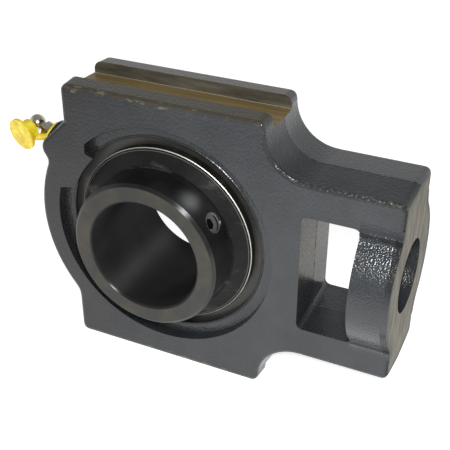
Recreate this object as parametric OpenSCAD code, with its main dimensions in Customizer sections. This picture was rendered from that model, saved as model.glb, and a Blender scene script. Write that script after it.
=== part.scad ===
// Take-up bearing unit: a cast housing that slides between two guide bars, with a
// self-aligning ball bearing insert. The origin is the bearing centre, +X points to
// the adjusting end, -Y is the front with the set screws, and +Z is up.

/* [Housing] */
// Height over the inner edges of the guide rails
height = 146; // [144:0.5:148]
// Thickness of the casting between its flat faces
plate_t = 42; // [41:0.5:44]
// Bearing centre to the left ends of the rails
rail_left = 51.7; // [50:0.1:53]
// Radius of the round end, at the flat faces
end_r = 69.3; // [68.5:0.1:70]
// Bearing centre to the machined end face
end_x = 119; // [118:0.5:121]
// Height of the adjusting block, at the flat faces
block_h = 94; // [92:0.5:96]
// Radius of the outer corners of the adjusting block
block_corner = 3; // [2.5:0.5:4]
// Bearing centre to the centres of the shoulder fillets, along X
shoulder_x = 75; // [74:0.5:76]
// Radius of the shoulder fillets
shoulder_r = 22; // [21:0.5:23]
// Draft of the cast walls on both sides of the parting line, in degrees
draft = 4; // [2:0.5:5]
// Radius of the rounding round the flat faces
edge_round = 2; // [1:0.1:2.2]
// Width of the guide grooves
groove_w = 22; // [20:0.5:24]
// Depth of the guide grooves
groove_d = 6.2; // [5:0.1:7]
// Radius of the recess round the seat
recess_r = 59.2; // [58.6:0.1:59.8]
// Depth of the recess round the seat
recess_d = 5; // [4:0.5:6]

/* [Adjusting end] */
// Bearing centre to the left wall of the nut window
window_x = 72.6; // [71:0.2:74]
// Height of the nut window
window_h = 62; // [60:0.5:64]
// Corner radius of the nut window
window_corner = 3; // [2:0.5:5]
// Draft of the nut window on both sides of the parting line, in degrees
window_draft = 1.5; // [0.5:0.5:2]
// Thickness of the wall with the bolt hole
end_wall = 19; // [17:0.5:21]
// Diameter of the bolt hole
bolt_hole_d = 36; // [32:0.5:37]
// Radius of the round boss about the bolt hole
boss_r = 35.5; // [33:0.5:35.5]
// Radius of the fillets beside the boss
boss_fillet = 14; // [10:0.5:15]

/* [Bearing insert] */
// Diameter of the shaft bore
bore_d = 57.15; // [50:0.05:60]
// Diameter of the ball-shaped outer ring
insert_d = 110; // [109.8:0.1:110.2]
// Width of the outer ring
insert_w = 25; // [24:0.5:26]
// Outside diameter of the inner ring
collar_d = 76.4; // [76:0.1:77]
// Reach of the inner ring in front of the centre
ring_front = 39; // [38:0.5:41]
// Reach of the inner ring behind the centre
ring_rear = 22; // [21.5:0.5:25]
// Diameter of the balls
ball_d = 15.875; // [15.6:0.005:16]
// Diameter of the circle of ball centres
pitch_d = 85; // [84.8:0.1:85.2]
// Angle of the first set screw, from +X towards +Z
screw_angle = 33; // [20:1:40]
// Angle between the two set screws
screw_spread = 62; // [55:1:65]

/* [Grease fitting] */
// Angle of the fitting, from +X towards +Z
nipple_angle = 155.5; // [153:0.5:157]
// Bearing centre to the flat on the grease boss
grease_flat = 80; // [78:0.5:82]
// Diameter of the ball-shaped head
nipple_head_d = 8.6; // [8:0.1:9]
// Diameter of the disc on the dust cap
cap_disc_d = 17; // [15:0.2:17.6]

/* [Hidden] */
$fn = 64;
BALL_COUNT = 10;
BALL_NODES = [for (i = [1 : BALL_COUNT]) str("ball_", i)];

// Small allowances
overcut = 1;
seam = 0.05;
fit_gap = 0.05;
free_gap = 0.3;

// Casting
half_t = plate_t / 2;
slope = tan(draft);
edge_turn = 30;
rail_z = height / 2 - (half_t - groove_w / 2) * slope;
groove_z = height / 2 - groove_d;
block_z = block_h / 2;
shoulder_z = block_z + shoulder_r;
rail_right = shoulder_x - shoulder_r;
rail_corner = 3.5;
end_fillet = 10;
end_fillet_x = -(rail_left + end_fillet);
end_fillet_z = sqrt(pow(end_r + end_fillet, 2) - pow(end_fillet_x, 2));
lug_x = -60;
lug_z = 35.9;
lug_r = 6.3;
lug_turn = 133.8;
lug_wall = lug_x * cos(lug_turn) + lug_z * sin(lug_turn) + lug_r;
lug_along = lug_z * cos(lug_turn) - lug_x * sin(lug_turn);
lug_root = 4;
lug_fillet = 5;
lug_fillet_reach = end_r + lug_fillet;
lug_fillet_angle = atan2(lug_z, lug_x) + acos(
    (pow(lug_x, 2) + pow(lug_z, 2) + pow(lug_fillet_reach, 2) - pow(lug_r + lug_fillet, 2))
    / (2 * norm([lug_x, lug_z]) * lug_fillet_reach));
recess_taper = 1;
land_side = recess_r + overcut;
// Corners of the land that breaks the recess, in the XZ plane
land_outline = [
    [-40.4, land_side],
    [-40.6, 37.8],
    [-36, 36.2],
    [-30, 20],
    [-48, 17.7],
    [-land_side, 14.8],
    [-land_side, land_side]
];
seat_r = insert_d / 2 + fit_gap / 2;
slot_r = seat_r + 0.6;
slot_w = insert_w + 1;
window_right = end_x - end_wall;
boss_reach = 0.4;
boss_fillet_y = half_t + boss_fillet;
boss_fillet_z = sqrt(pow(boss_r + boss_fillet, 2) - pow(boss_fillet_y, 2));

// Steps of a drafted wall: place along Y, and how far the wall stands out there.
// Each edge is rounded in short bevels, and the parting line is at Y = 0.
edge_steps = [for (a = [0 : edge_turn : 90])
    [edge_round * (1 - cos(a)), edge_round * (slope + sin(a) - 1)]];
front_steps = [for (s = edge_steps) [s[0] - half_t, s[1]]];
back_steps = [for (i = [len(edge_steps) - 1 : -1 : 0]) [half_t - edge_steps[i][0], edge_steps[i][1]]];
wall_steps = concat(front_steps, [[0, half_t * slope]], back_steps);

// Steps of the window's wall, which is wider at both faces than at the parting line
window_reach = boss_r + overcut;
window_slope = tan(window_draft);
window_steps = [
    [-window_reach, (window_reach - half_t) * window_slope],
    [0, -half_t * window_slope],
    [window_reach, (window_reach - half_t) * window_slope]
];

// Insert
outer_ball_r = insert_d / 2 - fit_gap / 2;
pitch_r = pitch_d / 2;
ball_r = ball_d / 2;
race_r = ball_r + free_gap;
collar_r = collar_d / 2;
bore_r = bore_d / 2;
outer_shoulder_r = pitch_r + 4.5;
ring_chamfer = 1.5;
bore_chamfer = 1;
half_w = insert_w / 2;
lube_y = 8.8;
lube_w = 2.4;
lube_depth = 0.8;
lube_hole_r = 1.2;
ball_step = 360 / BALL_COUNT;
cage_t = 1.1;
cage_in = collar_r + 1.3;
cage_out = outer_shoulder_r - 1.3;
pocket_r = ball_r + free_gap;
rivet_r = 0.9;
rivet_head_r = 1.6;
rivet_head_t = 0.6;
seal_y = 10.4;
seal_t = 0.8;
seal_groove = 1.2;
seal_inner_r = collar_r + 2.4;
lip_gap = 0.08;
flinger_t = 0.9;
flinger_slope_t = 1.2;
flinger_lip = 1.4;
flinger_round = 1.1;
flinger_hub_l = 3;
flinger_hub_y = 20.8;
flinger_web_y = 17.4;
flinger_rim_y = 13.6;
flinger_r = pitch_r + 4.8;
screw_y = 12 - ring_front;
screw_hole_r = 5;
screw_r = 4.93;
screw_in = bore_r + 0.6;
screw_out = collar_r - 2.2;
screw_socket_r = 2.9;
screw_socket_d = 4.6;
screw_point = 1.2;
screw_cup_r = 0.4;
screw_chamfer = 0.7;
screw_mouth_r = screw_hole_r + 2 * screw_chamfer;

// Grease fitting, measured outwards from the flat on the boss
grease_base = 64;
grease_top_r = 8.4;
grease_base_r = 13.2;
tap_r = 4.05;
tap_depth = 10;
passage_r = 2;
shank_r = 4;
shank_l = 8;
hex_r = 4.7;
hex_z = 2;
hex_h = 4;
hex_chamfer = 0.4;
neck_r = 2.6;
head_r = nipple_head_d / 2;
head_z = 11.3;
head_top = head_z + 3.5;
chamber_r = 1.5;
chamber_top = head_z + 0.9;
orifice_r = 0.8;
orifice_z = head_z + 1.7;
check_r = 1.25;
check_z = head_z + 0.62;
plug_r = 1.45;
plug_hole_r = 0.7;
plug_h = 1;
spring_turns = 9;
spring_wire_r = 0.2;
spring_r = 1.0;
spring_bottom = plug_h - shank_l + spring_wire_r;
spring_top = check_z - check_r - spring_wire_r - fit_gap;
spring_steps = 10;
wire_sides = 5;
loop_in = shank_r + free_gap;
loop_out = 6.4;
loop_h = 1.3;
loop_z = (hex_z - loop_h) / 2;
cap_x = -2;
cap_y = -13.4;
cap_z = 11.4;
cap_turn = [-8.7, 0, -14.5];
cap_disc_t = 1.6;
cup_r = 5.4;
cup_in = head_r + 0.15;
cup_l = 7.2;
strap_w = 3.4;
strap_t = 1.3;
strap_rise = 4.4;

// Colours
paint = [0.21, 0.23, 0.25];
black_steel = [0.07, 0.07, 0.07];
bright_steel = [0.72, 0.72, 0.7];
cage_steel = [0.62, 0.6, 0.55];
dark_rubber = [0.05, 0.05, 0.05];
flinger_steel = [0.35, 0.35, 0.34];
yellow_plastic = [0.93, 0.82, 0.16];

// Turns its children so that their Z axis becomes -Y
module about_y() {
    rotate([90, 0, 0]) children();
}

// Section of a ring about the Y axis, drawn as radius against reach towards the front
module turned() {
    about_y() rotate_extrude() children();
}

// Places its children on a radius at an angle in the XZ plane, with Z pointing outwards
module on_radius(angle, radius, y = 0) {
    translate([0, y, 0]) rotate([0, -angle, 0]) translate([radius, 0, 0]) rotate([0, 90, 0]) children();
}

// Places its children on the flat of the grease boss
module on_grease_flat() {
    on_radius(nipple_angle, grease_flat) children();
}

// Round wall about a Y axis, with draft and rounded edges
module drafted_disc(x, z, r, steps = wall_steps) {
    reach = steps[len(steps) - 1][0];
    outline = concat([[0, -reach]], [for (s = steps) [r + s[1], s[0]]], [[0, reach]]);
    translate([x, 0, z]) turned() polygon(outline);
}

// Hourglass about a Y axis that cuts a hollow fillet, with the same draft and edges
module drafted_hollow(x, z, r) {
    reach = half_t + overcut;
    mouth = r + edge_round + overcut;
    ends = [[0, -reach], [mouth, -reach]];
    walls = [for (s = wall_steps) [r - s[1], s[0]]];
    translate([x, 0, z]) turned() polygon(concat(ends, walls, [[mouth, reach], [0, reach]]));
}

// Bar along X, with drafted walls above and below
module drafted_bar_x(x0, x1, half_z, steps = wall_steps) {
    upper = [for (s = steps) [s[0], half_z + s[1]]];
    lower = [for (i = [len(steps) - 1 : -1 : 0]) [steps[i][0], -half_z - steps[i][1]]];
    translate([x0, 0, 0]) rotate([90, 0, 90]) linear_extrude(x1 - x0) polygon(concat(upper, lower));
}

// Bar along Z, with drafted walls left and right
module drafted_bar_z(half_z, left, right, steps = wall_steps) {
    right_wall = [for (s = steps) [right + s[1], s[0]]];
    left_wall = [for (i = [len(steps) - 1 : -1 : 0]) [left - steps[i][1], steps[i][0]]];
    translate([0, 0, -half_z]) linear_extrude(2 * half_z) polygon(concat(right_wall, left_wall));
}

// Plate part with the guide rails above and below, before the grooves
module rail_plate() {
    corner_z = rail_z - rail_corner;
    drafted_bar_x(rail_corner - rail_left, rail_right - rail_corner, rail_z);
    drafted_bar_z(corner_z, -rail_left, rail_right);
    for (x = [rail_corner - rail_left, rail_right - rail_corner])
        for (side = [-1, 1])
            drafted_disc(x, side * corner_z, rail_corner - seam);
}

// Hollow fillets between the rails and the adjusting block
module shoulder(side) {
    difference() {
        translate([rail_right - shoulder_r, -half_t, side > 0 ? block_z - shoulder_r : -shoulder_z])
            cube([2 * shoulder_r, plate_t, 2 * shoulder_r]);
        drafted_hollow(shoulder_x, side * shoulder_z, shoulder_r - seam);
    }
}

// Hollow fillet about a centre, filling the corner between two walls that it touches
module hollow_blend(centre, r, first, second) {
    difference() {
        about_y() translate([0, 0, -half_t]) linear_extrude(plate_t) polygon([centre, first, second]);
        drafted_hollow(centre[0], centre[1], r - seam);
    }
}

// Hollow fillets between the round end and the left ends of the rails
module end_blend(side) {
    centre = [end_fillet_x, side * end_fillet_z];
    hollow_blend(centre, end_fillet, [-rail_left / 2, side * end_fillet_z], centre / 2);
}

// Lug that fills the upper left corner in front of the grease boss
module grease_lug() {
    centre = lug_fillet_reach * [cos(lug_fillet_angle), sin(lug_fillet_angle)];
    drafted_disc(lug_x, lug_z, lug_r - seam);
    rotate([0, -lug_turn, 0]) translate([0, 0, (lug_along - lug_root) / 2])
        drafted_bar_z((lug_along + lug_root) / 2, end_r / 2, lug_wall);
    hollow_blend(centre, lug_fillet, [lug_x, lug_z], centre / 2);
}

// Block at the adjusting end, with rounded corners
module adjusting_block() {
    corner_x = end_x - block_corner;
    corner_z = block_z - block_corner;
    drafted_bar_x(0, corner_x, block_z);
    drafted_bar_z(corner_z, 0, end_x);
    for (side = [-1, 1])
        drafted_disc(corner_x, side * corner_z, block_corner - seam);
}

// Round boss about the bolt hole, standing out of both flat faces
module bolt_boss() {
    length = end_wall + boss_reach + overcut;
    translate([window_right - boss_reach, 0, 0]) rotate([90, 0, 90]) linear_extrude(length)
        difference() {
            union() {
                circle(boss_r);
                for (a = [-1, 1], b = [-1, 1])
                    polygon([
                        [a * boss_fillet_y, b * boss_fillet_z],
                        [a * (half_t - boss_fillet), b * boss_fillet_z],
                        [a * boss_fillet_y / 2, b * boss_fillet_z / 2]
                    ]);
            }
            for (a = [-1, 1], b = [-1, 1])
                translate([a * boss_fillet_y, b * boss_fillet_z]) circle(boss_fillet - seam);
        }
}

// Tapered boss for the grease fitting
module grease_boss() {
    on_radius(nipple_angle, grease_base)
        cylinder(h = grease_flat - grease_base, r1 = grease_base_r, r2 = grease_top_r);
}

// Window for the nut of the adjusting bolt
module nut_window() {
    left = window_x + window_corner;
    right = window_right - window_corner;
    corner_z = window_h / 2 - window_corner;
    drafted_bar_x(left, right, window_h / 2, window_steps);
    drafted_bar_z(corner_z, window_x, window_right, window_steps);
    for (x = [left, right])
        for (side = [-1, 1])
            drafted_disc(x, side * corner_z, window_corner - seam, window_steps);
}

// Front recess round the seat, broken by the land that carries the grease passage
module seat_recess() {
    difference() {
        translate([0, recess_d - half_t, 0]) about_y()
            cylinder(h = recess_d + overcut, r1 = recess_r - recess_taper, r2 = recess_r, $fn = 96);
        about_y() linear_extrude(plate_t) polygon(land_outline);
    }
}

// Passage from the fitting to the seat, with a pocket that leads to the outer ring's groove
module grease_passage() {
    inside = 3;
    on_grease_flat() translate([0, 0, -tap_depth]) cylinder(h = tap_depth + overcut, r = tap_r);
    on_radius(nipple_angle, seat_r - inside) {
        cylinder(h = grease_flat - tap_depth - seat_r + inside + overcut, r = passage_r);
        translate([-passage_r, 0, 0])
            cube([2 * passage_r, lube_y + lube_w / 2, inside + lube_depth]);
    }
}

// Slots at the back through which the insert is put in sideways
module filling_slots() {
    intersection() {
        translate([0, half_t + overcut, 0]) about_y() cylinder(h = half_t + overcut, r = slot_r, $fn = 96);
        translate([-slot_w / 2, -overcut, -plate_t * 2]) cube([slot_w, plate_t, plate_t * 4]);
    }
}

module housing() {
    color(paint) difference() {
        union() {
            drafted_disc(0, 0, end_r);
            rail_plate();
            adjusting_block();
            bolt_boss();
            grease_boss();
            grease_lug();
            for (side = [-1, 1]) {
                shoulder(side);
                end_blend(side);
            }
        }
        translate([end_x, -end_x, -height]) cube([end_x, 2 * end_x, 2 * height]);
        sphere(seat_r, $fn = 128);
        filling_slots();
        seat_recess();
        mirror([0, 1, 0]) seat_recess();
        for (side = [-1, 1])
            translate([-end_r - overcut, -groove_w / 2, side > 0 ? groove_z : -groove_z - height])
                cube([end_r + shoulder_x, groove_w, height]);
        nut_window();
        translate([window_right - boss_reach, 0, 0]) rotate([0, 90, 0])
            cylinder(h = end_wall + boss_reach + overcut, d = bolt_hole_d);
        grease_passage();
    }
}

module outer_ring() {
    color(black_steel) difference() {
        turned() difference() {
            intersection() {
                circle(outer_ball_r, $fn = 128);
                translate([outer_shoulder_r, -half_w]) square([insert_d, insert_w]);
            }
            translate([pitch_r, 0]) circle(race_r);
            for (side = [-1, 1])
                translate([outer_shoulder_r - overcut, side * seal_y - seal_t / 2 - fit_gap])
                    square([seal_groove + overcut, seal_t + 2 * fit_gap]);
            translate([sqrt(pow(outer_ball_r, 2) - pow(lube_y, 2)) - lube_depth, -lube_y - lube_w / 2])
                square([2 * lube_depth + overcut, lube_w]);
        }
        for (angle = [nipple_angle, nipple_angle + 180])
            on_radius(angle, pitch_r, lube_y) cylinder(h = ball_d, r = lube_hole_r);
    }
}

module inner_ring() {
    color(black_steel) difference() {
        turned() difference() {
            polygon([
                [bore_r + bore_chamfer, -ring_rear],
                [collar_r - ring_chamfer, -ring_rear],
                [collar_r, ring_chamfer - ring_rear],
                [collar_r, ring_front - ring_chamfer],
                [collar_r - ring_chamfer, ring_front],
                [bore_r + bore_chamfer, ring_front],
                [bore_r, ring_front - bore_chamfer],
                [bore_r, bore_chamfer - ring_rear]
            ]);
            translate([pitch_r, 0]) circle(race_r);
        }
        for (angle = [screw_angle, screw_angle - screw_spread]) {
            on_radius(angle, bore_r - overcut * 2, screw_y) cylinder(h = collar_r, r = screw_hole_r);
            on_radius(angle, collar_r - screw_chamfer, screw_y)
                cylinder(h = 2 * screw_chamfer, r1 = screw_hole_r - seam, r2 = screw_mouth_r);
        }
    }
}

module ball(index) {
    color(bright_steel) on_radius(ball_step * (index - 0.5), pitch_r) sphere(ball_r);
}

// Ring between the cage's inner and outer edges, reaching towards the front
module cage_band(depth) {
    turned() translate([cage_in, 0]) square([cage_out - cage_in, depth]);
}

// Front ribbon half of the cage: flat lands between round pockets
module cage_half() {
    difference() {
        cage_band(cage_t);
        for (i = [1 : BALL_COUNT]) {
            on_radius(ball_step * (i - 0.5), pitch_r) rotate([90, 0, 0])
                cylinder(h = 4 * cage_t, r = pocket_r + cage_t / 2, center = true, $fn = 48);
            on_radius(ball_step * i, pitch_r) rotate([90, 0, 0])
                cylinder(h = 4 * cage_t, r = rivet_r + seam, center = true, $fn = 24);
        }
    }
    for (i = [1 : BALL_COUNT])
        intersection() {
            cage_band(pocket_r + 2 * cage_t);
            on_radius(ball_step * (i - 0.5), pitch_r) rotate([90, 0, 0]) rotate_extrude($fn = 48)
                intersection() {
                    difference() {
                        circle(pocket_r + cage_t);
                        circle(pocket_r);
                    }
                    square(2 * pocket_r);
                }
        }
}

module cage_front() {
    color(cage_steel) cage_half();
}

module cage_rear() {
    color(cage_steel) mirror([0, 1, 0]) cage_half();
}

module cage_rivets() {
    head_y = cage_t + seam;
    color(bright_steel) for (i = [1 : BALL_COUNT])
        on_radius(ball_step * i, pitch_r) rotate([90, 0, 0]) {
            cylinder(h = 2 * head_y, r = rivet_r, center = true, $fn = 24);
            for (side = [-1, 1])
                translate([0, 0, side * (head_y + rivet_head_t / 2)])
                    cylinder(h = rivet_head_t, r = rivet_head_r, center = true, $fn = 24);
        }
}

// Steel shield of a seal, held in the outer ring's groove
module seal_plate(side) {
    color(bright_steel) turned()
        translate([seal_inner_r, side * seal_y - seal_t / 2])
            square([outer_shoulder_r + seal_groove - fit_gap - seal_inner_r, seal_t]);
}

module seal_plate_front() {
    seal_plate(1);
}

module seal_plate_rear() {
    seal_plate(-1);
}

// Rubber lip bonded to the inner edge of a shield
module seal_lip(side) {
    foot = side * (seal_y - seal_t);
    brow = side * (seal_y + 2 * seal_t);
    color(dark_rubber) turned()
        polygon([
            [seal_inner_r - seam, foot],
            [seal_inner_r - seam, side * (seal_y + seal_t)],
            [collar_r + lip_gap + seal_t, brow],
            [collar_r + lip_gap, brow],
            [collar_r + 2 * seal_t, side * seal_y],
            [collar_r + 2 * seal_t, foot]
        ]);
}

module seal_lip_front() {
    seal_lip(1);
}

module seal_lip_rear() {
    seal_lip(-1);
}

// Dished flinger: a hub on the inner ring, a sloping web and a rim turned in over a rounded edge
module flinger(side) {
    hub_r = collar_r + seam / 2;
    edge_r = flinger_r - flinger_round;
    edge_y = flinger_web_y - flinger_round;
    rounded = [for (a = [0 : edge_turn : 90])
        [edge_r + flinger_round * sin(a), side * (edge_y + flinger_round * cos(a))]];
    color(flinger_steel) turned()
        polygon([
            [hub_r, side * (flinger_hub_y - flinger_hub_l)],
            [hub_r, side * flinger_hub_y],
            [hub_r + flinger_lip, side * flinger_hub_y],
            each rounded,
            [flinger_r, side * flinger_rim_y],
            [flinger_r - flinger_t, side * flinger_rim_y],
            [flinger_r - flinger_t, side * (flinger_web_y - flinger_slope_t)],
            [hub_r + flinger_t, side * (flinger_hub_y - flinger_slope_t)],
            [hub_r + flinger_t, side * (flinger_hub_y - flinger_hub_l)]
        ]);
}

module flinger_front() {
    flinger(1);
}

module flinger_rear() {
    flinger(-1);
}

// Cup-point set screw with a hexagon socket
module set_screw(angle) {
    length = screw_out - screw_in;
    color(black_steel) on_radius(angle, screw_in, screw_y) difference() {
        union() {
            cylinder(h = screw_point, r1 = screw_r - screw_point, r2 = screw_r);
            translate([0, 0, screw_point]) cylinder(h = length - screw_point, r = screw_r);
        }
        translate([0, 0, length - screw_socket_d])
            cylinder(h = screw_socket_d + overcut, r = screw_socket_r, $fn = 6);
        translate([0, 0, -seam])
            cylinder(h = screw_point, r1 = screw_r - 2 * screw_point, r2 = screw_cup_r);
    }
}

module set_screw_1() {
    set_screw(screw_angle);
}

module set_screw_2() {
    set_screw(screw_angle - screw_spread);
}

module nipple_body() {
    color(bright_steel) on_grease_flat() difference() {
        union() {
            translate([0, 0, -shank_l]) cylinder(h = shank_l + hex_z, r = shank_r);
            translate([0, 0, hex_z]) intersection() {
                cylinder(h = hex_h, r = hex_r, $fn = 6);
                cylinder(h = hex_h, r1 = hex_r + hex_h - hex_chamfer, r2 = hex_r - hex_chamfer);
            }
            cylinder(h = head_z, r = neck_r);
            intersection() {
                translate([0, 0, head_z]) sphere(head_r);
                cylinder(h = head_top, r = head_r + overcut);
            }
        }
        translate([0, 0, -shank_l - overcut])
            cylinder(h = chamber_top + shank_l + overcut, r = chamber_r);
        translate([0, 0, chamber_top])
            cylinder(h = orifice_z - chamber_top, r1 = chamber_r, r2 = orifice_r);
        translate([0, 0, orifice_z - seam]) cylinder(h = head_top, r = orifice_r);
    }
}

module nipple_ball() {
    color(bright_steel) on_grease_flat() translate([0, 0, check_z]) sphere(check_r);
}

// Ring of points round the spring wire at one step of its helix
function wire_ring(step) =
    let (
        turn = 360 * step / spring_steps,
        rise = (spring_top - spring_bottom) / (spring_turns * spring_steps) * step
    )
    [for (k = [0 : wire_sides - 1])
        let (around = 360 * k / wire_sides, r = spring_r + spring_wire_r * cos(around))
        [r * cos(turn), r * sin(turn), spring_bottom + rise + spring_wire_r * sin(around)]];

module nipple_spring() {
    n = wire_sides;
    last = spring_turns * spring_steps;
    points = [for (step = [0 : last]) each wire_ring(step)];
    sides = [for (step = [0 : last - 1], k = [0 : n - 1])
        let (a = n * step + k, b = n * step + (k + 1) % n)
        each [[a, b, b + n], [a, b + n, a + n]]];
    first_cap = [for (k = [n - 1 : -1 : 0]) k];
    last_cap = [for (k = [0 : n - 1]) n * last + k];
    color(bright_steel) on_grease_flat() polyhedron(points, concat(sides, [first_cap, last_cap]));
}

// Crimped washer that holds the spring
module nipple_plug() {
    color(bright_steel) on_grease_flat() translate([0, 0, -shank_l]) difference() {
        cylinder(h = plug_h, r = plug_r);
        translate([0, 0, -overcut]) cylinder(h = plug_h + 2 * overcut, r = plug_hole_r);
    }
}

// Places its children on the outside of the cap's disc, with Z pointing out of the cap
module on_cap_disc() {
    translate([cap_x, cap_y, cap_z]) rotate(cap_turn) about_y() children();
}

// Dust cap, its strap and the loop round the shank under the hexagon, moulded as one piece
module nipple_cap() {
    loop_top = loop_z + loop_h;
    color(yellow_plastic) on_grease_flat() difference() {
        union() {
            translate([0, 0, loop_z]) cylinder(h = loop_h, r = loop_out);
            on_cap_disc() translate([0, 0, -cap_disc_t]) cylinder(h = cap_disc_t, d = cap_disc_d);
            on_cap_disc() translate([0, 0, -cup_l]) cylinder(h = cup_l - cap_disc_t / 2, r = cup_r);
            hull() {
                translate([0, strap_t - loop_out, loop_z]) cylinder(h = strap_t, d = strap_w, $fn = 24);
                translate([cap_x, cap_y + cup_l - strap_w / 2, loop_z + strap_rise])
                    cylinder(h = strap_t, d = strap_w, $fn = 24);
            }
        }
        translate([0, 0, loop_z - overcut]) cylinder(h = loop_h + 2 * overcut, r = loop_in);
        translate([0, 0, loop_top - seam]) cylinder(h = strap_rise + overcut, r = hex_r + free_gap);
        on_cap_disc() translate([0, 0, -cup_l - overcut])
            cylinder(h = cup_l - cap_disc_t + overcut, r = cup_in);
    }
}

housing();
outer_ring();
inner_ring();
for (i = [1 : BALL_COUNT])
    ball(i);
cage_front();
cage_rear();
cage_rivets();
seal_plate_front();
seal_plate_rear();
seal_lip_front();
seal_lip_rear();
flinger_front();
flinger_rear();
set_screw_1();
set_screw_2();
nipple_body();
nipple_ball();
nipple_spring();
nipple_plug();
nipple_cap();
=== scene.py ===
import math

import bpy
import numpy as np
from mathutils import Matrix, Vector


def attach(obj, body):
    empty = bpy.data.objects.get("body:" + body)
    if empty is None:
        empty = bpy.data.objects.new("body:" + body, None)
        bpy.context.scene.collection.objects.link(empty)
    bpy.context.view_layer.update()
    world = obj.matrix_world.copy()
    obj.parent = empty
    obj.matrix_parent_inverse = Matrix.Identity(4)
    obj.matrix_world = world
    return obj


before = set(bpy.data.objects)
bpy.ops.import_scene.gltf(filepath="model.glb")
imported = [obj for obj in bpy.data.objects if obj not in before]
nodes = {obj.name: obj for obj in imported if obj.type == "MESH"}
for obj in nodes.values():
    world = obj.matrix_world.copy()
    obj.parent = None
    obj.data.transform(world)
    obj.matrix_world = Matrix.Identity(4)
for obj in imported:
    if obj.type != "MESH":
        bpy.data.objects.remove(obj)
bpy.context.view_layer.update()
print("frame loaded:", len(nodes), "nodes")

# camera where the photograph was taken from, in metres and degrees
shot = {
    "target": (0.02281, 0.00504, -0.00030),
    "azimuth": 25.04,
    "elevation": 31.07,
    "roll": -0.19,
    "distance": 0.44579,
    "lens": 70.52,
    "sensor": 36.0,
}


# the camera looks along the line from its stand to the target, turned about that line by the roll
def standCamera(shot):
    az, el, roll = (math.radians(shot[k]) for k in ("azimuth", "elevation", "roll"))
    back = Vector((math.sin(az) * math.cos(el), -math.cos(az) * math.cos(el), math.sin(el)))
    right = Vector((math.cos(az), math.sin(az), 0.0))
    down = -back.cross(right)
    right, down = right * math.cos(roll) + down * math.sin(roll), down * math.cos(roll) - right * math.sin(roll)
    data = bpy.data.cameras.new("photoCamera")
    data.lens, data.sensor_width = shot["lens"], shot["sensor"]
    data.clip_start, data.clip_end = 0.01, 50.0
    camera = bpy.data.objects.new("photoCamera", data)
    bpy.context.scene.collection.objects.link(camera)
    turn = Matrix((right, -down, back)).transposed()
    camera.matrix_world = Matrix.Translation(Vector(shot["target"]) + back * shot["distance"]) @ turn.to_4x4()
    bpy.context.scene.camera = camera


standCamera(shot)
print("camera placed")


# shader helpers: each adds nodes to a tree and hands back the socket that carries the result
def shaderTree(name):
    mat = bpy.data.materials.new(name)
    mat.use_nodes = True
    tree = mat.node_tree
    tree.nodes.clear()
    out = tree.nodes.new("ShaderNodeOutputMaterial")
    skin = tree.nodes.new("ShaderNodeBsdfPrincipled")
    tree.links.new(skin.outputs[0], out.inputs[0])
    place = tree.nodes.new("ShaderNodeTexCoord").outputs["Object"]
    return mat, tree, skin, place


def addNode(tree, kind, inputs, **settings):
    node = tree.nodes.new(kind)
    for key, value in settings.items():
        setattr(node, key, value)
    for key, value in inputs.items():
        if isinstance(value, bpy.types.NodeSocket):
            tree.links.new(value, node.inputs[key])
        else:
            node.inputs[key].default_value = value
    return node


def work(tree, operation, a, b=0.0, clamp=False):
    return addNode(tree, "ShaderNodeMath", {0: a, 1: b}, operation=operation, use_clamp=clamp).outputs[0]


# product of all the values
def times(tree, product, *others):
    for other in others:
        product = work(tree, "MULTIPLY", product, other)
    return product


# distance from an axis: root of the sum of the squares of the two coordinates across it
def radius(tree, a, b):
    return work(tree, "SQRT", work(tree, "ADD", times(tree, a, a), times(tree, b, b)))


# smooth step from 0 at low to 1 at high
def fade(tree, value, low, high):
    node = addNode(tree, "ShaderNodeMapRange", {"Value": value, "From Min": low, "From Max": high},
                   interpolation_type="SMOOTHSTEP")
    return node.outputs[0]


# noise in periods per metre; stretch divides the pitch along each axis, turn is in degrees
def grain(tree, place, pitch, detail, rough, stretch=None, turn=None):
    if stretch or turn:
        angles = tuple(math.radians(a) for a in (turn or (0, 0, 0)))
        place = addNode(tree, "ShaderNodeMapping", {"Vector": place, "Rotation": angles,
                                                    "Scale": stretch or (1, 1, 1)}).outputs[0]
    return addNode(tree, "ShaderNodeTexNoise", {"Vector": place, "Scale": pitch, "Detail": detail,
                                                "Roughness": rough}).outputs[0]


def tint(tree, value, stops):
    node = addNode(tree, "ShaderNodeValToRGB", {"Fac": value})
    ramp = node.color_ramp
    while len(ramp.elements) < len(stops):
        ramp.elements.new(0.5)
    for element, (at, colour) in zip(ramp.elements, stops):
        element.position = at
        element.color = (*colour, 1.0)
    return node.outputs[0]


# from the darker colour of a pair to the lighter one, between two values
def shades(tree, value, pair, stops):
    return tint(tree, value, list(zip(stops, pair)))


def blendColour(tree, share, a, b):
    node = addNode(tree, "ShaderNodeMix", {0: share}, data_type="RGBA")
    for slot, value in ((6, a), (7, b)):
        if isinstance(value, bpy.types.NodeSocket):
            tree.links.new(value, node.inputs[slot])
        else:
            node.inputs[slot].default_value = (*value, 1.0)
    return node.outputs[2]


def blendValue(tree, share, a, b):
    return addNode(tree, "ShaderNodeMix", {0: share, 2: a, 3: b}, data_type="FLOAT").outputs[0]


def relief(tree, height, depth, under=None):
    inputs = {"Height": height, "Distance": depth, "Strength": 1.0}
    if under:
        inputs["Normal"] = under
    return addNode(tree, "ShaderNodeBump", inputs).outputs[0]


def split(tree, place):
    return addNode(tree, "ShaderNodeSeparateXYZ", {0: place}).outputs[:3]


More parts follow.
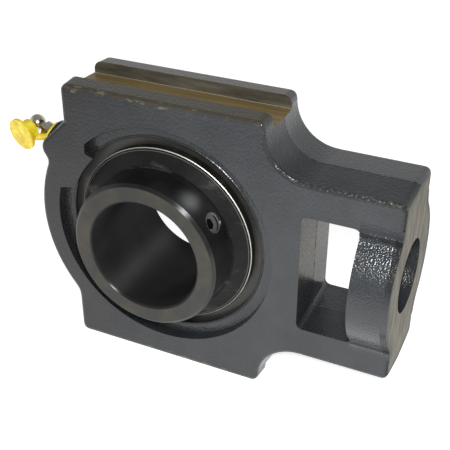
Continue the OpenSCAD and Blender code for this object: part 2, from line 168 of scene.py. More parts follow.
# the casting's finish: sizes and the widths over which marks fade in metres, noises as (pitch, detail, roughness)
casting = {
    "endX": 0.119,
    "halfThick": 0.021,
    "bossR": 0.0355,
    "bossX": 0.0995,
    "bossFade": (0.002, 0.0005),
    "blockZ": 0.047,
    "grooveZ": 0.0668,
    "grooveHalf": 0.011,
    "railZ": 0.0722,
    "seatR": 0.055,
    "seatNear": 0.0004,
    "windowX": 0.0726,
    "windowHalf": 0.0312,
    "windowFade": (-0.0012, -0.0006, 0.0006),
    "planeNear": 0.00005,
    "sideNear": 0.00003,
    "endNear": 0.00006,
    "paint": ((0.0155, 0.0178, 0.0198), (0.0242, 0.0270, 0.0292)),
    "paintLeftShade": ((0.0100, 0.0100, 0.0106), (0.0150, 0.0151, 0.0160)),
    "paintStops": (0.35, 0.65),
    "shadeLeftToRight": (-0.05, 0.025),
    "paintSheen": (0.14, 0.34),
    "fineGrain": (1900, 2, 0.5),
    "fineShare": 0.25,
    "broadGrain": (45, 3, 0.55),
    "broadShare": 0.8,
    "pebblePitch": 820.0,
    "pebbleSmooth": 0.7,
    "peelDepth": 0.00010,
    "bossPeel": 1.9,
    "bossPitch": 1.5,
    "windowPeel": 0.3,
    "edgePeel": 2.8,
    "edgeSheen": 0.26,
    "edgeFacing": ((0.12, 0.3), (0.985, 0.93)),
    "edgeFromX": (0.045, 0.055),
    "fleckGrain": (900, 3, 0.6),
    "fleckShare": (0.50, 0.66),
    "fleckFromX": (0.066, 0.076),
    "fleckBelow": (0.0035, 0.002),
    "chipAndGlint": (0.095, 0.084, 0.054),
    "chipGrain": (420, 4, 0.65),
    "chipStretch": (0.35, 1, 1),
    "chipShare": (0.55, 0.66),
    "chipBelow": (0.0032, 0.0022),
    "chipFromY": (0.0185, 0.0198),
    "worn": (0.048, 0.038, 0.020),
    "wornShare": 0.65,
    "wornBelow": (0.0022, 0.0006),
    "patchGrain": (170, 4, 0.65),
    "patchReach": 0.004,
    "dust": (0.052, 0.042, 0.020),
    "dustShare": 0.75,
    "dustFromZ": (-0.016, 0.004),
    "bare": ((0.022, 0.019, 0.011), (0.185, 0.165, 0.116)),
    "bareStops": (0.32, 0.68),
    "bareSheen": 0.5,
    "streakGrain": (260, 5, 0.72),
    "streakStretch": (1, 1, 0.2),
    "streakTurn": (-24, 0, 0),
    "millDepth": 0.00007,
    "blotchGrain": (150, 3, 0.6),
    "blotchReach": 0.007,
    "bossBlend": 0.008,
    "overspray": (-0.0005, 0.006),
    "endEdge": 0.003,
    "bronze": ((0.10, 0.066, 0.023), (0.205, 0.143, 0.059)),
    "bronzeStops": (0.3, 0.7),
    "scoreGrain": (1500, 2, 0.6),
    "scoreStretch": (0.02, 1, 1),
    "grooveSide": ((0.036, 0.031, 0.022), (0.085, 0.076, 0.056)),
    "stainGrain": (240, 4, 0.65),
    "stainStretch": (0.15, 1, 1),
    "stainStops": (0.35, 0.65),
    "grooveSheen": 0.42,
    "floorEdgePale": (0.30, 0.26, 0.19),
    "floorEdgeInside": (0.0008, 0.0005),
    "seat": (0.012, 0.012, 0.012),
    "seatSheen": 0.3,
    "shine": (0.5, 0.14),
    "white": (1.0, 1.0, 1.0),
    "warmShine": (0.9, 0.81, 0.60),
}


def castPaint(c):
    mat, tree, skin, place = shaderTree("castPaint")
    x, y, z = split(tree, place)
    absY, absZ = work(tree, "ABSOLUTE", y), work(tree, "ABSOLUTE", z)

    # enamel over sand casting: pooled colour, fine grain and orange peel, sharper on the boss and in its hole
    near, full = (c["bossR"] + v for v in c["bossFade"])
    onBoss = times(tree, fade(tree, radius(tree, y, z), near, full), work(tree, "GREATER_THAN", x, c["bossX"]))
    fine, broad = grain(tree, place, *c["fineGrain"]), grain(tree, place, *c["broadGrain"])
    pitch = times(tree, blendValue(tree, onBoss, 1.0, c["bossPitch"]), c["pebblePitch"])
    pebble = addNode(tree, "ShaderNodeTexVoronoi", {"Vector": place, "Scale": pitch, "Smoothness": c["pebbleSmooth"]},
                     feature="SMOOTH_F1").outputs[0]
    peel = work(tree, "SUBTRACT", 1.0, pebble)
    # towards the left end the paint colour turns darker: painted shade, where less light falls
    colour = blendColour(tree, fade(tree, x, *c["shadeLeftToRight"]), shades(tree, broad, c["paintLeftShade"], c["paintStops"]),
                         shades(tree, broad, c["paint"], c["paintStops"]))
    sheen = blendValue(tree, peel, *c["paintSheen"])

    # rounded edges between the front and the sides; along the block's top edge pale flecks are a painted highlight,
    # standing for the glints on the rounded edge
    facing = times(tree, split(tree, place.node.outputs["Normal"])[1], -1.0)
    onEdge = times(tree, *(fade(tree, facing, *ends) for ends in c["edgeFacing"]))
    sheen = blendValue(tree, onEdge, sheen, c["edgeSheen"])
    glintFlecks = fade(tree, grain(tree, place, *c["fleckGrain"]), *c["fleckShare"])
    blockTop = fade(tree, z, *(c["blockZ"] - v for v in c["fleckBelow"]))
    blockEdgeGlint = times(tree, onEdge, glintFlecks, fade(tree, x, *c["fleckFromX"]), blockTop)

    # rails rubbed brown on top, with chips along their edges
    patchy = work(tree, "SUBTRACT", grain(tree, place, *c["patchGrain"]), 0.5)
    railHeight = work(tree, "ADD", absZ, times(tree, patchy, c["patchReach"]))
    onRail = fade(tree, railHeight, *(c["railZ"] - v for v in c["wornBelow"]))
    colour = blendColour(tree, times(tree, onRail, c["wornShare"]), colour, c["worn"])
    # the flecks along the block's top edge take the chip colour as a painted highlight; the rail chips below are real
    # wear
    colour = blendColour(tree, blockEdgeGlint, colour, c["chipAndGlint"])
    chips = fade(tree, grain(tree, place, *c["chipGrain"], stretch=c["chipStretch"]), *c["chipShare"])
    railEdge = fade(tree, railHeight, *(c["railZ"] - v for v in c["chipBelow"]))
    colour = blendColour(tree, times(tree, chips, railEdge, fade(tree, absY, *c["chipFromY"])), colour, c["chipAndGlint"])

    # pale olive tint on the window's left wall, part dust and part painted light: it is painted on the upper part,
    # which is lit, and fades out over the lower part, which lies in shade
    before, at, past = (c["windowX"] + v for v in c["windowFade"])
    inWindow = times(tree, fade(tree, x, before, at), work(tree, "LESS_THAN", x, past),
                     work(tree, "LESS_THAN", absZ, c["windowHalf"]),
                     work(tree, "LESS_THAN", absY, c["halfThick"] - 2 * c["planeNear"]))
    dusty = times(tree, inWindow, c["dustShare"], fade(tree, z, *c["dustFromZ"]))
    colour = blendColour(tree, dusty, colour, c["dust"])

    # bare end face, with milling streaks that run aslant and overspray at its edges
    onEnd = work(tree, "GREATER_THAN", x, c["endX"] - c["endNear"])
    streak = grain(tree, place, *c["streakGrain"], stretch=c["streakStretch"], turn=c["streakTurn"])
    square = work(tree, "SUBTRACT", c["bossR"] ** 2, times(tree, z, z))
    bossHalf = work(tree, "SQRT", work(tree, "MAXIMUM", square, 0.0))
    reach = work(tree, "SMOOTH_MAX", bossHalf, c["halfThick"])
    reach.node.inputs[2].default_value = c["bossBlend"]
    rim = work(tree, "MINIMUM", work(tree, "SUBTRACT", reach, absY), work(tree, "SUBTRACT", c["blockZ"], absZ))
    blotch = work(tree, "SUBTRACT", grain(tree, place, *c["blotchGrain"]), 0.5)
    rim = work(tree, "ADD", rim, times(tree, blotch, c["blotchReach"]))
    clean = times(tree, onEnd, fade(tree, rim, *c["overspray"]))
    colour = blendColour(tree, clean, colour, shades(tree, streak, c["bare"], c["bareStops"]))
    sheen = blendValue(tree, onEnd, sheen, c["bareSheen"])

    # milled guide grooves, brown with old oil, scored along their length
    aboveFloor = work(tree, "GREATER_THAN", absZ, c["grooveZ"] + c["planeNear"])
    between = work(tree, "LESS_THAN", absY, c["grooveHalf"] + c["sideNear"])
    onFloor = times(tree, work(tree, "LESS_THAN", absZ, c["grooveZ"] + c["planeNear"]),
                    work(tree, "GREATER_THAN", absZ, c["grooveZ"] - c["planeNear"]), between)
    onSide = times(tree, aboveFloor, between)
    score = grain(tree, place, *c["scoreGrain"], stretch=c["scoreStretch"])
    stain = grain(tree, place, *c["stainGrain"], stretch=c["stainStretch"])
    colour = blendColour(tree, onFloor, colour, shades(tree, score, c["bronze"], c["bronzeStops"]))
    colour = blendColour(tree, onSide, colour, shades(tree, stain, c["grooveSide"], c["stainStops"]))
    # a paler line along the floor's edges next to the groove walls
    corner = times(tree, onFloor, fade(tree, absY, *(c["grooveHalf"] - v for v in c["floorEdgeInside"])))
    colour = blendColour(tree, corner, colour, c["floorEdgePale"])
    inGroove = work(tree, "MAXIMUM", onFloor, onSide)
    sheen = blendValue(tree, inGroove, sheen, c["grooveSheen"])

    # machined ball seat round the insert, coloured near black as painted shade, since it lies in shadow beside the
    # outer ring
    far = addNode(tree, "ShaderNodeVectorMath", {0: place}, operation="LENGTH").outputs["Value"]
    onSeat = work(tree, "COMPARE", far, c["seatR"])
    onSeat.node.inputs[2].default_value = c["seatNear"]
    colour = blendColour(tree, onSeat, colour, c["seat"])
    sheen = blendValue(tree, onSeat, sheen, c["seatSheen"])

    # the peel stops where the iron is machined, and the tool marks take its place
    machined = work(tree, "MAXIMUM", clean, work(tree, "MAXIMUM", inGroove, onSeat))
    height = work(tree, "ADD", times(tree, fine, c["fineShare"]), peel)
    height = work(tree, "ADD", height, times(tree, broad, c["broadShare"]))
    coarse = blendValue(tree, inWindow, blendValue(tree, onBoss, 1.0, c["bossPeel"]), c["windowPeel"])
    lively = times(tree, work(tree, "SUBTRACT", onEdge, onBoss, clamp=True), fade(tree, x, *c["edgeFromX"]))
    coarse = times(tree, coarse, blendValue(tree, lively, 1.0, c["edgePeel"]))
    normal = relief(tree, times(tree, height, coarse, work(tree, "SUBTRACT", 1.0, machined)), c["peelDepth"])
    lines = work(tree, "ADD", times(tree, streak, clean), times(tree, score, inGroove))
    normal = relief(tree, lines, c["millDepth"], under=normal)

    # bare iron and dust shine less than paint, and warmer
    endEdge = times(tree, onEdge, work(tree, "GREATER_THAN", x, c["endX"] - c["endEdge"]))
    dull = work(tree, "MAXIMUM", work(tree, "MAXIMUM", onEnd, endEdge), work(tree, "MAXIMUM", inWindow, onSide))
    tree.links.new(colour, skin.inputs["Base Color"])
    tree.links.new(sheen, skin.inputs["Roughness"])
    tree.links.new(blendValue(tree, dull, *c["shine"]), skin.inputs["Specular IOR Level"])
    tree.links.new(blendColour(tree, dull, c["white"], c["warmShine"]), skin.inputs["Specular Tint"])
    tree.links.new(normal, skin.inputs["Normal"])
    return mat


# black oxide on turned steel, in metres; a piece without a bore, front face or socket has a value there that
# none of its points reaches
oxide = {
    "turnedGrain": (1600, 2, 0.6),
    "turnedDepth": 0.000012,
    "cloudGrain": (60, 3, 0.6),
    "cloudStops": (0.35, 0.7),
    "oilGrain": (75, 4, 0.65),
    "oilStops": (0.4, 0.72),
    "oil": ((0.018, 0.0176, 0.015), (0.040, 0.034, 0.019)),
    "faceNear": 0.0001,
    "glossSpread": (-0.06, 0.08),
    "shine": 0.38,
    "socket": (0.004, 0.004, 0.004),
    "socketFade": 0.0003,
    "boreFade": (0.0006, 0.0003),
    "boreGloss": 0.55,
    "boreShine": 0.25,
    "patchFade": (0.012, 0.003),
    "patchSwirl": 0.004,
    "patchGloss": 0.5,
    "patchShine": 1.0,
    "patchStretch": 0.9,
}
collar = {
    "colours": ((0.0045, 0.0045, 0.0045), (0.012, 0.0118, 0.0116)),
    "gloss": 0.32,
    "boreR": 0.028575,
    "faceY": 0.039,
    "socketR": 0.0,
    "patch": (0.0216, -0.0305, 0.032),
}
ring = {
    "colours": ((0.017, 0.0162, 0.0138), (0.032, 0.030, 0.026)),
    "gloss": 0.34,
    "boreR": 0.0,
    "faceY": 1.0,
    "socketR": 0.0,
    "patch": None,
}
screw = {
    "colours": ((0.055, 0.050, 0.050), (0.12, 0.110, 0.108)),
    "gloss": 0.32,
    "boreR": 0.0,
    "faceY": 1.0,
    "socketR": 0.0358,
    "patch": None,
}


# fine turned rings about the shaft, an oily front face, sockets coloured near black as painted shade, a duller bore
# and a patch rubbed by hand
def blackOxide(name, o, p):
    mat, tree, skin, place = shaderTree(name)
    x, y, z = split(tree, place)
    out = radius(tree, x, z)
    turned = addNode(tree, "ShaderNodeCombineXYZ", {0: out, 1: y, 2: 0.0}).outputs[0]
    cloud = grain(tree, place, *o["cloudGrain"])
    colour = shades(tree, cloud, p["colours"], o["cloudStops"])
    onFace = work(tree, "LESS_THAN", y, o["faceNear"] - p["faceY"])
    oiled = shades(tree, grain(tree, place, *o["oilGrain"]), o["oil"], o["oilStops"])
    colour = blendColour(tree, onFace, colour, oiled)
    # the sockets are coloured near black: painted shade down in the recess
    colour = blendColour(tree, fade(tree, out, p["socketR"], p["socketR"] - o["socketFade"]), colour, o["socket"])
    inBore = fade(tree, out, *(p["boreR"] + v for v in o["boreFade"]))
    polish = blendValue(tree, cloud, *(p["gloss"] + v for v in o["glossSpread"]))
    shine = o["shine"]
    if p["patch"]:
        away = addNode(tree, "ShaderNodeVectorMath", {0: place, 1: p["patch"]}, operation="DISTANCE").outputs["Value"]
        patch = fade(tree, work(tree, "ADD", away, times(tree, cloud, o["patchSwirl"])), *o["patchFade"])
        shaft = addNode(tree, "ShaderNodeCombineXYZ", {0: 0.0, 1: 1.0, 2: 0.0}).outputs[0]
        tree.links.new(shaft, skin.inputs["Tangent"])
        skin.inputs["Anisotropic"].default_value = o["patchStretch"]
        polish = blendValue(tree, patch, polish, o["patchGloss"])
        shine = blendValue(tree, patch, shine, o["patchShine"])
    tree.links.new(colour, skin.inputs["Base Color"])
    tree.links.new(blendValue(tree, inBore, polish, o["boreGloss"]), skin.inputs["Roughness"])
    tree.links.new(blendValue(tree, inBore, shine, o["boreShine"]), skin.inputs["Specular IOR Level"])
    tree.links.new(relief(tree, grain(tree, turned, *o["turnedGrain"]), o["turnedDepth"]), skin.inputs["Normal"])
    return mat


# pressed sheet of the flingers; the rim and a thin pale line inside it are bands inside rimR
sheet = {
    "rimR": 0.0473,
    "rimBand": ((0.0005, 0.0004), (0.0001, 0.0002)),
    "innerLineBand": ((0.0016, 0.0015), (0.0012, 0.0013)),
    "innerLineShare": 0.1,
    "turnedGrain": (1300, 2, 0.6),
    "turnedDepth": 0.000015,
    "cloudGrain": (90, 3, 0.6),
    "cloudStops": (0.3, 0.7),
    "dull": ((0.006, 0.006, 0.006), (0.012, 0.0118, 0.0115)),
    "dullGloss": (0.2, 0.3),
    "smearGrain": (130, 4, 0.7),
    "smearStretch": (0.5, 1, 1.4),
    "smearTurn": (0, 35, 0),
    "smearShare": (0.52, 0.78),
    "smear": (0.045, 0.042, 0.036),
    "bright": (0.75, 0.72, 0.64),
    "brightGloss": 0.55,
    "shine": 0.1,
}


# dull grey with smears of dust and a bright sheared rim
def flingerSheet(s):
    mat, tree, skin, place = shaderTree("flingerSheet")
    x, y, z = split(tree, place)
    out = radius(tree, x, z)
    turned = addNode(tree, "ShaderNodeCombineXYZ", {0: out, 1: y, 2: 0.0}).outputs[0]
    cloud = grain(tree, place, *s["cloudGrain"])
    rim, innerLine = (times(tree, *(fade(tree, out, s["rimR"] - a, s["rimR"] - b) for a, b in s[band]))
                    for band in ("rimBand", "innerLineBand"))
    rim = work(tree, "MAXIMUM", rim, times(tree, innerLine, s["innerLineShare"]))
    smeared = grain(tree, place, *s["smearGrain"], stretch=s["smearStretch"], turn=s["smearTurn"])
    dull = shades(tree, cloud, s["dull"], s["cloudStops"])
    dull = blendColour(tree, fade(tree, smeared, *s["smearShare"]), dull, s["smear"])
    slope, least = s["dullGloss"]
    gloss = work(tree, "ADD", times(tree, cloud, slope), least)
    tree.links.new(blendColour(tree, rim, dull, s["bright"]), skin.inputs["Base Color"])
    tree.links.new(rim, skin.inputs["Metallic"])
    tree.links.new(blendValue(tree, rim, gloss, s["brightGloss"]), skin.inputs["Roughness"])
    tree.links.new(relief(tree, grain(tree, turned, *s["turnedGrain"]), s["turnedDepth"]), skin.inputs["Normal"])
    skin.inputs["Specular IOR Level"].default_value = s["shine"]
    return mat


# bright steel with faint polishing scratches and clouding; the three kinds differ in colour, gloss and scratches
steel = {
    "cloudGrain": (400, 2, 0.5),
    "cloudStops": (0.3, 0.7),
    "cloudDark": 0.7,
    "scratchDetail": (3, 0.65),
    "scratchStretch": (1, 0.2, 1),
    "glossSpread": (0.7, 1.3),
}
ballSteel = {"colour": (0.62, 0.62, 0.61), "gloss": 0.10, "pitch": 900, "depth": 0.000004}
cageSteel = {"colour": (0.42, 0.40, 0.36), "gloss": 0.34, "pitch": 1200, "depth": 0.00001}
platedSteel = {"colour": (0.74, 0.69, 0.57), "gloss": 0.22, "pitch": 1400, "depth": 0.00001}


def brightSteel(name, s, p):
    mat, tree, skin, place = shaderTree(name)
    scratch = grain(tree, place, p["pitch"], *s["scratchDetail"], stretch=s["scratchStretch"])
    pair = (tuple(v * s["cloudDark"] for v in p["colour"]), p["colour"])
    cloudy = shades(tree, grain(tree, place, *s["cloudGrain"]), pair, s["cloudStops"])
    tree.links.new(cloudy, skin.inputs["Base Color"])
    tree.links.new(blendValue(tree, scratch, *(p["gloss"] * v for v in s["glossSpread"])), skin.inputs["Roughness"])
    tree.links.new(relief(tree, scratch, p["depth"]), skin.inputs["Normal"])
    skin.inputs["Metallic"].default_value = 1.0
    return mat


# soft yellow moulding, mottled and a little see-through
moulding = {
    "mottleGrain": (260, 3, 0.55),
    "mottle": [(0.3, (0.56, 0.38, 0.008)), (0.5, (0.70, 0.53, 0.016)), (0.72, (0.82, 0.70, 0.06))],
    "rippleGrain": (1100, 2, 0.5),
    "gloss": (0.25, 0.42),
    "depth": 0.00007,
    "under": {"Weight": 0.35, "Radius": (0.004, 0.0025, 0.0006), "Scale": 0.4},
}


def yellowMoulding(m):
    mat, tree, skin, place = shaderTree("yellowMoulding")
    mottle, ripple = grain(tree, place, *m["mottleGrain"]), grain(tree, place, *m["rippleGrain"])
    tree.links.new(tint(tree, mottle, m["mottle"]), skin.inputs["Base Color"])
    tree.links.new(blendValue(tree, ripple, *m["gloss"]), skin.inputs["Roughness"])
    tree.links.new(relief(tree, work(tree, "ADD", mottle, ripple), m["depth"]), skin.inputs["Normal"])
    for key, value in m["under"].items():
        skin.inputs["Subsurface " + key].default_value = value
    return mat


# dusty black rubber of the seal lips
rubber = {
    "dustGrain": (300, 3, 0.6),
    "dustStops": (0.3, 0.75),
    "colours": ((0.012, 0.012, 0.012), (0.03, 0.03, 0.029)),
    "gloss": (0.55, 0.75),
    "skinGrain": (2200, 2, 0.5),
    "depth": 0.00002,
}


def sealRubber(r):
    mat, tree, skin, place = shaderTree("sealRubber")
    dust = grain(tree, place, *r["dustGrain"])
    tree.links.new(shades(tree, dust, r["colours"], r["dustStops"]), skin.inputs["Base Color"])
    tree.links.new(blendValue(tree, dust, *r["gloss"]), skin.inputs["Roughness"])
    tree.links.new(relief(tree, grain(tree, place, *r["skinGrain"]), r["depth"]), skin.inputs["Normal"])
    return mat


finishes = {
    "housing": castPaint(casting),
    "collar": blackOxide("collarOxide", oxide, collar),
    "ring": blackOxide("ringOxide", oxide, ring),
    "screw": blackOxide("screwOxide", oxide, screw),
    "flinger": flingerSheet(sheet),
    "ball": brightSteel("ballSteel", steel, ballSteel),
    "cage": brightSteel("cageSheet", steel, cageSteel),
    "plated": brightSteel("platedSteel", steel, platedSteel),
    "rubber": sealRubber(rubber),
    "yellow": yellowMoulding(moulding),
}
dressing = {
    "housing": ["housing"],
    "collar": ["inner_ring"],
    "ring": ["outer_ring"],
    "screw": ["set_screw_1", "set_screw_2"],
    "flinger": ["flinger_front", "flinger_rear"],
    "ball": [n for n in nodes if n.startswith("ball_")] + ["nipple_ball", "cage_rivets"],
    "cage": ["cage_front", "cage_rear", "seal_plate_front", "seal_plate_rear"],
    "plated": ["nipple_body", "nipple_plug", "nipple_spring"],
    "rubber": ["seal_lip_front", "seal_lip_rear"],
    "yellow": ["nipple_cap"],
}
for finish, names in dressing.items():
    for name in names:
        nodes[name].data.materials.clear()
        nodes[name].data.materials.append(finishes[finish])
print("finishes on", sum(len(v) for v in dressing.values()), "nodes")


# numpy surfaces for what the casting and the turned parts carry beyond their solids
def pathArc(centre, r, start, end, step):
    count = max(4, int(abs(math.radians(end - start)) * r / step))
    a = np.radians(np.linspace(start, end, count))
    return np.stack([centre[0] + r * np.cos(a), centre[1] + r * np.sin(a)], -1)


def pathLine(start, end, step):
    count = max(2, int(math.dist(start, end) / step))
    return np.linspace(start, end, count + 1)


# drops points that repeat the one before, so that the tangent is never zero
def joinPath(parts):
    path = np.concatenate(parts)
    gap = np.linalg.norm(np.diff(path, axis=0), axis=1)
    return path[np.concatenate([[True], gap > 1e-5])]


# rows of points along a path and columns round a profile, made into one closed mesh with its faces outward
def sweptPiece(name, points, looped):
    rows, cols = points.shape[:2]
    index = np.arange(rows * cols).reshape(rows, cols)
    beside = np.roll(index, -1, axis=1)
    first, second = (index, np.roll(index, -1, axis=0)) if looped else (index[:-1], index[1:])
    besideSecond = np.roll(beside, -1, axis=0) if looped else beside[1:]
    besideFirst = beside if looped else beside[:-1]
    quads = np.stack([first, besideFirst, besideSecond, second], -1).reshape(-1, 4)
    flat = points.reshape(-1, 3)
    a, b, c, d = (flat[quads[:, k]] for k in range(4))
    inside = np.einsum("ij,ij->", a, np.cross(b, c)) + np.einsum("ij,ij->", a, np.cross(c, d))
    faces = quads.tolist()
    if not looped:
        faces += [index[0, ::-1].tolist(), index[-1].tolist()]
    if inside < 0:
        faces = [face[::-1] for face in faces]
    mesh = bpy.data.meshes.new(name)
    mesh.from_pydata(flat.tolist(), [], faces)
    mesh.update()
    piece = bpy.data.objects.new(name, mesh)
    bpy.context.scene.collection.objects.link(piece)
    return piece


# parting line of the casting in the XZ plane, in mm; lean is how far the draft pushes the walls out there
parting = {
    "lean": 1.4685,
    "endX": 119.0,
    "blockZ": 47.0,
    "blockCorner": 3.0,
    "shoulder": (75.0, 69.0, 22.0),
    "railLeft": 51.7,
    "grooveZ": 66.8,
    "endR": 69.3,
    "endFillet": (61.7, 49.84, 10.0),
    "lug": (-60.0, 35.9, 6.3),
    "lugTurn": 133.8,
    "lugFillet": 5.0,
    "window": (72.6, 100.0, 31.0, 3.0),
    "windowLean": 0.55,
    "step": 0.7,
    "halfWidth": 0.35,
    "height": 0.11,
    "sunk": 0.5,
    "inset": 0.02,
    "roundPoints": 7,
    "swell": ((0.35, 1.9, 0), (0.25, 0.83, 1)),
}


# outline from the end face over the block and its shoulder to the groove, for one side
def shoulderPath(p, side):
    corner, lean = p["blockCorner"], p["lean"]
    cx, cz, r = p["shoulder"]
    centre = (p["endX"] - corner, p["blockZ"] - corner)
    rise = math.degrees(math.acos(corner / (corner + lean)))
    dip = math.degrees(math.asin((cz - p["grooveZ"]) / (r - lean)))
    path = joinPath([
        pathArc(centre, corner + lean, rise, 90, p["step"]),
        pathLine((centre[0], p["blockZ"] + lean), (cx, p["blockZ"] + lean), p["step"]),
        pathArc((cx, cz), r - lean, 270, 180 + dip, p["step"]),
    ])
    return path if side > 0 else path[::-1] * (1, -1)


# outline from the upper groove over the lug and the round end to the lower groove
def roundEndPath(p):
    lean, step, left = p["lean"], p["step"], -p["railLeft"] - p["lean"]
    lx, lz, lr = p["lug"]
    turn = math.radians(p["lugTurn"])
    wall = lx * math.cos(turn) + lz * math.sin(turn) + lr + lean
    meet = (wall - left * math.cos(turn)) / math.sin(turn)
    reach, lugFar = p["endR"] + p["lugFillet"], math.hypot(lx, lz)
    swing = math.acos((lugFar ** 2 + reach ** 2 - (lr + p["lugFillet"]) ** 2) / (2 * lugFar * reach))
    angle = math.atan2(lz, lx) + swing
    hollow = (reach * math.cos(angle), reach * math.sin(angle))
    toLug = math.degrees(math.atan2(lz - hollow[1], lx - hollow[0]))
    fx, fz, fr = p["endFillet"]
    low = math.degrees(math.atan2(-fz, -fx)) + 360
    return joinPath([
        pathLine((left, p["grooveZ"]), (left, meet), step),
        pathArc((lx, lz), lr + lean, p["lugTurn"], toLug + 180, step),
        pathArc(hollow, p["lugFillet"] - lean, toLug, math.degrees(angle) - 180, step),
        pathArc((0, 0), p["endR"] + lean, math.degrees(angle), low, step),
        pathArc((-fx, -fz), fr - lean, low - 180, 0, step),
        pathLine((left, -fz), (left, -p["grooveZ"]), step),
    ])


# outline of the nut window, run clockwise so that its inside is on the right
def windowPath(p):
    x0, x1, z1, r = p["window"]
    x0, x1, z1 = x0 + p["windowLean"] + r, x1 - p["windowLean"] - r, z1 - p["windowLean"] - r
    corners = [((x1, z1), 90), ((x1, -z1), 0), ((x0, -z1), -90), ((x0, z1), -180)]
    arcs = [pathArc(centre, r, start, start - 90, p["step"]) for centre, start in corners]
    sides = [pathLine(arc[-1], after[0], p["step"]) for arc, after in zip(arcs, arcs[1:] + arcs[:1])]
    return joinPath([part for pair in zip(arcs, sides) for part in pair])[:-1]


# low half-round bead: the profile's height goes along the outward normal and its width along Y, and the
# height swells and sinks with two sines of the length run; it stops just short of the end face
def flashBead(name, path, p, looped):
    tangent = np.roll(path, -1, axis=0) - np.roll(path, 1, axis=0) if looped else np.gradient(path, axis=0)
    tangent /= np.linalg.norm(tangent, axis=1, keepdims=True)
    outward = np.stack([tangent[:, 1], -tangent[:, 0]], -1)
    run = np.concatenate([[0], np.cumsum(np.linalg.norm(np.diff(path, axis=0), axis=1))])
    swell = 1 + sum(share * np.sin(run / length + start) for share, length, start in p["swell"])
    phi = np.linspace(0, math.pi, p["roundPoints"])
    width = np.concatenate([p["halfWidth"] * np.cos(phi), [-p["halfWidth"], p["halfWidth"]]])
    up = np.concatenate([np.sin(phi), [0, 0]])
    deep = np.concatenate([np.zeros(len(phi)), [p["sunk"], p["sunk"]]])
    lift = p["height"] * swell[:, None] * up - deep
    points = np.empty((len(path), len(width), 3))
    points[..., 0] = np.minimum(path[:, :1] + outward[:, :1] * lift, p["endX"] - p["inset"])
    points[..., 1] = width
    points[..., 2] = path[:, 1:] + outward[:, 1:] * lift
    piece = sweptPiece(name, points / 1000, looped)
    piece.data.materials.append(finishes["housing"])
    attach(piece, "housing")


flashBead("flash_upper", shoulderPath(parting, 1), parting, False)
flashBead("flash_lower", shoulderPath(parting, -1), parting, False)
flashBead("flash_round_end", roundEndPath(parting), parting, False)
flashBead("flash_window", windowPath(parting), parting, True)
print("parting line laid")

# lip of paint round the mouth of the seat, in mm and degrees; it runs from one side of the land to the other
lip = {
    "r": 52.7,
    "y": -15.9,
    "bead": 0.6,
    "start": 160.0,
    "end": 497.0,
    "step": 0.6,
    "sides": 10,
}


# circle carried along an arc about the shaft
def paintLip(name, p):
    path = pathArc((0, 0), p["r"], p["start"], p["end"], p["step"])
    out = path / p["r"]
    phi = np.linspace(0, 2 * math.pi, p["sides"], endpoint=False)
    points = np.empty((len(path), len(phi), 3))
    points[..., 0] = path[:, :1] + p["bead"] * out[:, :1] * np.cos(phi)
    points[..., 1] = p["y"] + p["bead"] * np.sin(phi)
    points[..., 2] = path[:, 1:] + p["bead"] * out[:, 1:] * np.cos(phi)
    piece = sweptPiece(name, points / 1000, False)
    piece.data.materials.append(finishes["housing"])
    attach(piece, "housing")


paintLip("seat_lip", lip)
print("paint lip laid")

# thread in the mouths of the set-screw holes, in mm and degrees
thread = {
    "angles": (33.0, -29.0),
    "y": -27.0,
    "holeR": 5.0,
    "bottom": 36.15,
    "pitch": 0.8,
    "turns": 1.6,
    "depth": 0.45,
    "halfWidth": 0.34,
    "bite": 0.12,
    "rows": 150,
    "taper": 0.08,
    "least": 0.05,
}


# a three-cornered ridge carried along a helix on the wall of the hole; it grows and fades at its ends
def threadRidge(name, angle, t):
    a = math.radians(angle)
    out, along = np.array([math.cos(a), 0, math.sin(a)]), np.array([0, 1.0, 0])
    side = np.cross(out, along)
    u = np.linspace(0, 1, t["rows"])[:, None]
    phi = 2 * math.pi * t["turns"] * u
    size = np.clip(np.minimum(u, 1 - u) / t["taper"], t["least"], 1)
    r = t["holeR"] + t["bite"] - size * np.array([0, t["depth"] + t["bite"], 0])
    lift = t["bottom"] + t["halfWidth"] + t["pitch"] * t["turns"] * u + size * t["halfWidth"] * np.array([-1, 0, 1])
    points = lift[..., None] * out + (r * np.cos(phi))[..., None] * along + (r * np.sin(phi))[..., None] * side
    points[..., 1] += t["y"]
    piece = sweptPiece(name, points / 1000, False)
    piece.data.materials.append(finishes["screw"])
    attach(piece, "rotor")


for number, angle in enumerate(thread["angles"], 1):
    threadRidge("screw_thread_%d" % number, angle, thread)
print("threads cut")

# pale floor under the rails, one lamp beside the camera and a grey sky, in metres and watts
studio = {
    "floorZ": -0.0731,
    "floorSize": 8.0,
    "floorColour": (0.92, 0.92, 0.92),
    "floorFarShade": (0.75, 0.75, 0.75),
    "floorGlow": (0.62, 0.2),
    "floorFade": (0.12, 0.38),
    "floorRough": 0.9,
    "floorShine": 0.1,
    "key": {
        "from": (0.35, -0.74, 0.57),
        "reach": 0.47,
        "size": 0.06,
        "power": 2.2,
        "colour": (0.96, 0.98, 1.0),
    },
    "horizon": (0.75, 0.75, 0.75),
    "zenith": (0.3, 0.3, 0.31),
    "skyFade": (0.30, 0.70),
}
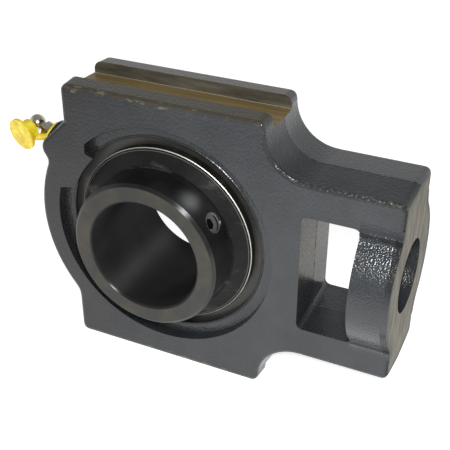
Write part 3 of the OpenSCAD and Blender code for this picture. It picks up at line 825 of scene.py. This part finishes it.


# light table: it glows under and behind the part, and less towards the front, where its colour is also painted
# darker: painted shade
def layFloor(s):
    half = s["floorSize"] / 2
    corners = [(x, y, s["floorZ"]) for x, y in ((-half, -half), (half, -half), (half, half), (-half, half))]
    mesh = bpy.data.meshes.new("paleFloor")
    mesh.from_pydata(corners, [], [(0, 1, 2, 3)])
    floor = bpy.data.objects.new("paleFloor", mesh)
    bpy.context.scene.collection.objects.link(floor)
    mat, tree, skin, place = shaderTree("paleFloor")
    ahead = fade(tree, work(tree, "MULTIPLY", split(tree, place)[1], -1.0), *s["floorFade"])
    tree.links.new(blendColour(tree, ahead, s["floorColour"], s["floorFarShade"]), skin.inputs["Base Color"])
    tree.links.new(blendValue(tree, ahead, *s["floorGlow"]), skin.inputs["Emission Strength"])
    skin.inputs["Emission Color"].default_value = (1.0, 1.0, 1.0, 1.0)
    skin.inputs["Roughness"].default_value = s["floorRough"]
    skin.inputs["Specular IOR Level"].default_value = s["floorShine"]
    mesh.materials.append(mat)


def hangLight(name, lamp, aim):
    data = bpy.data.lights.new(name, "AREA")
    data.shape, data.size, data.energy, data.color = "SQUARE", lamp["size"], lamp["power"], lamp["colour"]
    light = bpy.data.objects.new(name, data)
    bpy.context.scene.collection.objects.link(light)
    back = Vector(lamp["from"]).normalized()
    light.location = aim + back * lamp["reach"]
    light.rotation_euler = back.to_track_quat("Z", "Y").to_euler()


# sky between two greys, by the height of the direction looked in
def lightSky(s):
    world = bpy.data.worlds.new("studioSky")
    bpy.context.scene.world = world
    world.use_nodes = True
    tree = world.node_tree
    ground = tree.nodes["Background"]
    up = split(tree, addNode(tree, "ShaderNodeTexCoord", {}).outputs["Generated"])[2]
    sky = tint(tree, fade(tree, up, *s["skyFade"]), [(0.0, s["horizon"]), (1.0, s["zenith"])])
    tree.links.new(sky, ground.inputs["Color"])
    ground.inputs["Strength"].default_value = 1.0


layFloor(studio)
hangLight("keyLight", studio["key"], Vector(shot["target"]))
lightSky(studio)
bpy.context.scene.view_settings.view_transform = "Standard"
print("studio lit")
